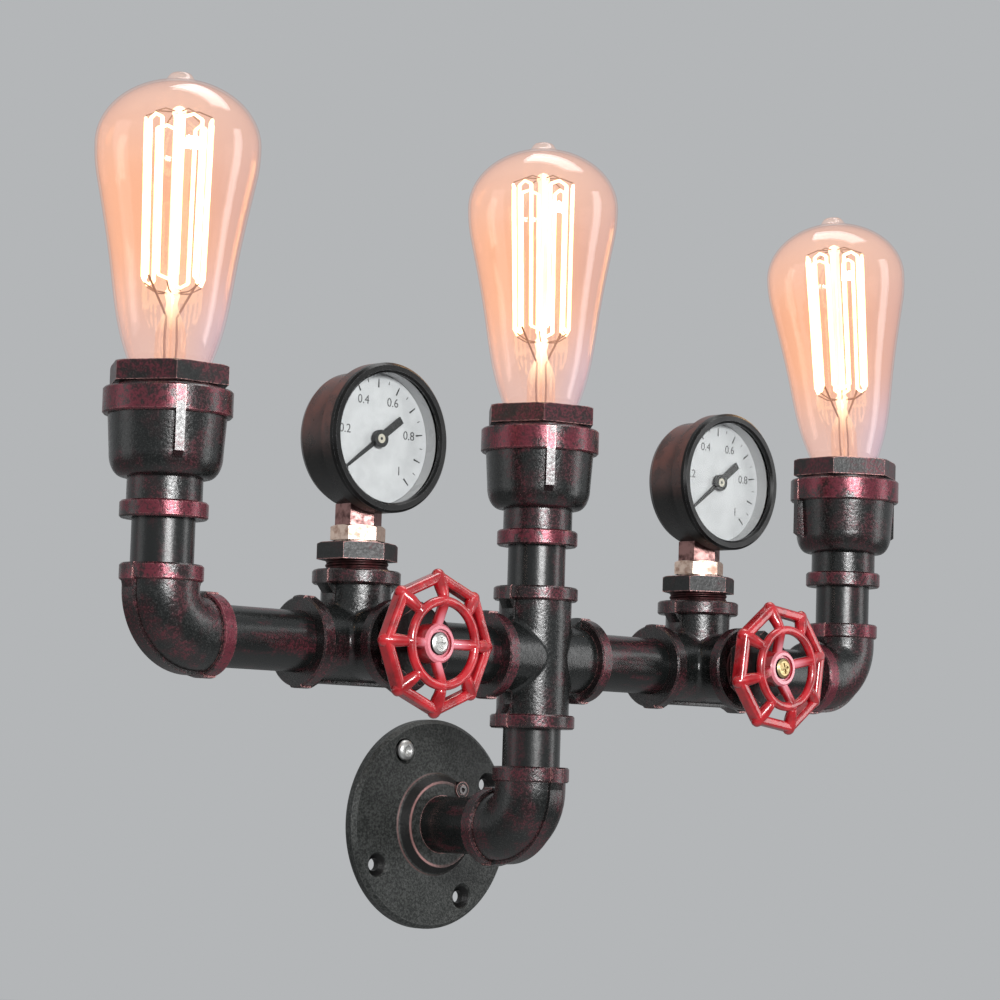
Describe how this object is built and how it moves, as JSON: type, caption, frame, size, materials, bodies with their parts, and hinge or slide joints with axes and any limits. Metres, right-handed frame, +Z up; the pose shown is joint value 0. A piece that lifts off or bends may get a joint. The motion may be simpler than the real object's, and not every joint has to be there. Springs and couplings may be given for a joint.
{
  "type": "pipe wall light",
  "caption": "Wall light built from iron pipe fittings, with upright bulbs in bell reducers, dial gauges and small handwheels on a bar above a round wall flange.",
  "frame": {"origin": "centre of the wall flange's back face", "axes": "+Y into the wall, +X to the right seen from the front along the pipe bar, +Z up"},
  "size_m": [0.3962, 0.1059, 0.2946],
  "materials": {
    "fitting_iron": "black cast iron with rubbed red-copper edges",
    "pipe_iron": "black iron pipe with rubbed red-copper streaks",
    "flange_iron": "plain dark cast iron",
    "screw_steel": "plain steel",
    "brass_screw": "yellow passivated",
    "nut_brass": "pale brass",
    "stem_copper": "dark coppered brass",
    "cap_brass": "drawn brass",
    "porcelain": "glazed white",
    "bulb_glass": "clear amber",
    "mount_glass": "clear",
    "wheel_red": "glossy red enamel",
    "spindle_steel": "turned steel",
    "case_black": "black with rubbed red-brown",
    "bezel_black": "glossy black",
    "lens_clear": "clear",
    "dial_white": "matt white",
    "pointer_black": "matt black",
    "movement_brass": "plain brass",
    "lead_sheath": "black sheath"
  },
  "bodies": {
    "frame": {"wall_flange": "flange_iron", "flange_set_screw": "screw_steel", "wall_nipple": "pipe_iron", "riser_nipple": "pipe_iron", "left_inner_nipple": "pipe_iron", "right_inner_nipple": "pipe_iron", "left_outer_nipple": "pipe_iron", "right_outer_nipple": "pipe_iron", "left_lamp_nipple": "pipe_iron", "center_lamp_nipple": "pipe_iron", "right_lamp_nipple": "pipe_iron", "base_elbow": "fitting_iron", "cross_fitting": "fitting_iron", "left_tee": "fitting_iron", "right_tee": "fitting_iron", "left_elbow": "fitting_iron", "right_elbow": "fitting_iron", "left_bell_reducer": "fitting_iron", "center_bell_reducer": "fitting_iron", "right_bell_reducer": "fitting_iron", "left_hex_collar": "fitting_iron", "center_hex_collar": "fitting_iron", "right_hex_collar": "fitting_iron", "gauge_bushings": "fitting_iron", "wheel_bushings": "fitting_iron", "left_lampholder": "porcelain", "center_lampholder": "porcelain", "right_lampholder": "porcelain", "lampholder_shells": "cap_brass", "lampholder_contacts": "cap_brass", "gauge_lock_nuts": "nut_brass", "left_gauge_stem": "stem_copper", "right_gauge_stem": "stem_copper", "left_gauge_case": "case_black", "right_gauge_case": "case_black", "left_gauge_bezel": "bezel_black", "right_gauge_bezel": "bezel_black", "left_gauge_lens": "lens_clear", "right_gauge_lens": "lens_clear", "left_gauge_dial": "dial_white", "right_gauge_dial": "dial_white", "gauge_movements": "movement_brass", "lamp_leads": "lead_sheath"},
    "left_wheel": {"left_handwheel": "wheel_red", "left_wheel_spindle": "spindle_steel", "left_wheel_screw": "screw_steel"},
    "left_pointer": {"left_gauge_pointer": "pointer_black"},
    "right_wheel": {"right_handwheel": "wheel_red", "right_wheel_spindle": "spindle_steel", "right_wheel_screw": "brass_screw"},
    "right_pointer": {"right_gauge_pointer": "pointer_black"},
    "left_bulb": {"left_bulb_glass": "bulb_glass", "left_bulb_cap": "cap_brass", "left_bulb_mount": "mount_glass"},
    "center_bulb": {"center_bulb_glass": "bulb_glass", "center_bulb_cap": "cap_brass", "center_bulb_mount": "mount_glass"},
    "right_bulb": {"right_bulb_glass": "bulb_glass", "right_bulb_cap": "cap_brass", "right_bulb_mount": "mount_glass"}
  },
  "joints": [
    {"name": "left_wheel_turn", "type": "hinge", "parent": "frame", "child": "left_wheel", "pos_m": [-0.087, -0.095, 0.0623], "axis": [0, -1, 0], "continuous": true},
    {"name": "left_pointer_turn", "type": "hinge", "parent": "frame", "child": "left_pointer", "pos_m": [-0.087, -0.0661, 0.1345], "axis": [0, 1, 0], "range_deg": [0, 270], "stiffness_Nm_per_rad": 0.0002},
    {"name": "right_wheel_turn", "type": "hinge", "parent": "frame", "child": "right_wheel", "pos_m": [0.087, -0.095, 0.0623], "axis": [0, -1, 0], "continuous": true},
    {"name": "right_pointer_turn", "type": "hinge", "parent": "frame", "child": "right_pointer", "pos_m": [0.087, -0.0661, 0.1345], "axis": [0, 1, 0], "range_deg": [0, 270], "stiffness_Nm_per_rad": 0.0002},
    {"name": "left_bulb_lift", "type": "slide", "parent": "frame", "child": "left_bulb", "axis": [0, 0, 1], "range_m": [0, 0.03]},
    {"name": "center_bulb_lift", "type": "slide", "parent": "frame", "child": "center_bulb", "axis": [0, 0, 1], "range_m": [0, 0.03]},
    {"name": "right_bulb_lift", "type": "slide", "parent": "frame", "child": "right_bulb", "axis": [0, 0, 1], "range_m": [0, 0.03]}
  ]
}
